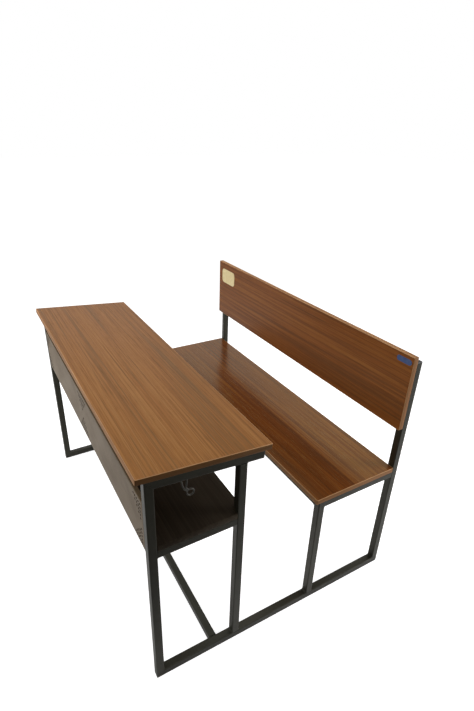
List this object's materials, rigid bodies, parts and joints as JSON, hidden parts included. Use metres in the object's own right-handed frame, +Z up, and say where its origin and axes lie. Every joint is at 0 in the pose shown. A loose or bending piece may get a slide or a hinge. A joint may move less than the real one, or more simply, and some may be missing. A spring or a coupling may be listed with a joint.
{
  "type": "school desk and bench",
  "caption": "Sloping school desk with an open bag shelf, joined to a seat with a backrest by one welded frame of square steel tube.",
  "frame": {"origin": "on the floor, at the centre of the bounding box's underside", "axes": "+X along the boards, towards the left of a person who sits on the seat and faces the desk; +Y from the desk towards the backrest; +Z up"},
  "size_m": [1.22, 0.9408, 0.897],
  "materials": {
    "powder_coat": "semi-matt black powder coat",
    "desk_laminate": "walnut pattern laminate, satin",
    "seat_laminate": "dark walnut pattern laminate, satin",
    "shelf_laminate": "dark walnut pattern laminate, satin",
    "edge_band": "plastic edge band, matt",
    "panel_paint": "taupe powder coat, semi-matt",
    "cap_plastic": "black moulded plastic",
    "screw_zinc": "zinc plated"
  },
  "bodies": {
    "root": {"back_board": "seat_laminate", "back_edge_band": "edge_band", "back_screw_1": "screw_zinc", "back_screw_2": "screw_zinc", "back_screw_3": "screw_zinc", "back_screw_4": "screw_zinc", "bag_hook_left": "powder_coat", "bag_hook_right": "powder_coat", "bench_front_leg_left": "powder_coat", "bench_front_leg_right": "powder_coat", "desk_board": "desk_laminate", "desk_edge_band": "edge_band", "desk_front_leg_left": "powder_coat", "desk_front_leg_right": "powder_coat", "desk_front_rail": "powder_coat", "desk_rail_cap_left": "cap_plastic", "desk_rail_cap_right": "cap_plastic", "desk_rail_left": "powder_coat", "desk_rail_right": "powder_coat", "desk_rear_leg_left": "powder_coat", "desk_rear_leg_right": "powder_coat", "desk_rear_rail": "powder_coat", "desk_screw_1": "screw_zinc", "desk_screw_2": "screw_zinc", "desk_screw_3": "screw_zinc", "desk_screw_4": "screw_zinc", "floor_runner_left": "powder_coat", "floor_runner_right": "powder_coat", "front_panel": "panel_paint", "panel_screw_1": "screw_zinc", "panel_screw_2": "screw_zinc", "panel_screw_3": "screw_zinc", "panel_screw_4": "screw_zinc", "seat_board": "seat_laminate", "seat_edge_band": "edge_band", "seat_front_rail": "powder_coat", "seat_rail_left": "powder_coat", "seat_rail_right": "powder_coat", "seat_rear_rail": "powder_coat", "seat_screw_1": "screw_zinc", "seat_screw_2": "screw_zinc", "seat_screw_3": "screw_zinc", "seat_screw_4": "screw_zinc", "shelf_board": "shelf_laminate", "shelf_end_band_left": "edge_band", "shelf_end_band_right": "edge_band", "shelf_rail_left": "powder_coat", "shelf_rail_right": "powder_coat", "shelf_rear_band": "edge_band", "shelf_screw_1": "screw_zinc", "shelf_screw_2": "screw_zinc", "shelf_screw_3": "screw_zinc", "shelf_screw_4": "screw_zinc", "stretcher": "powder_coat", "upright_cap_left": "cap_plastic", "upright_cap_right": "cap_plastic", "upright_left": "powder_coat", "upright_right": "powder_coat"}
  },
  "joints": []
}
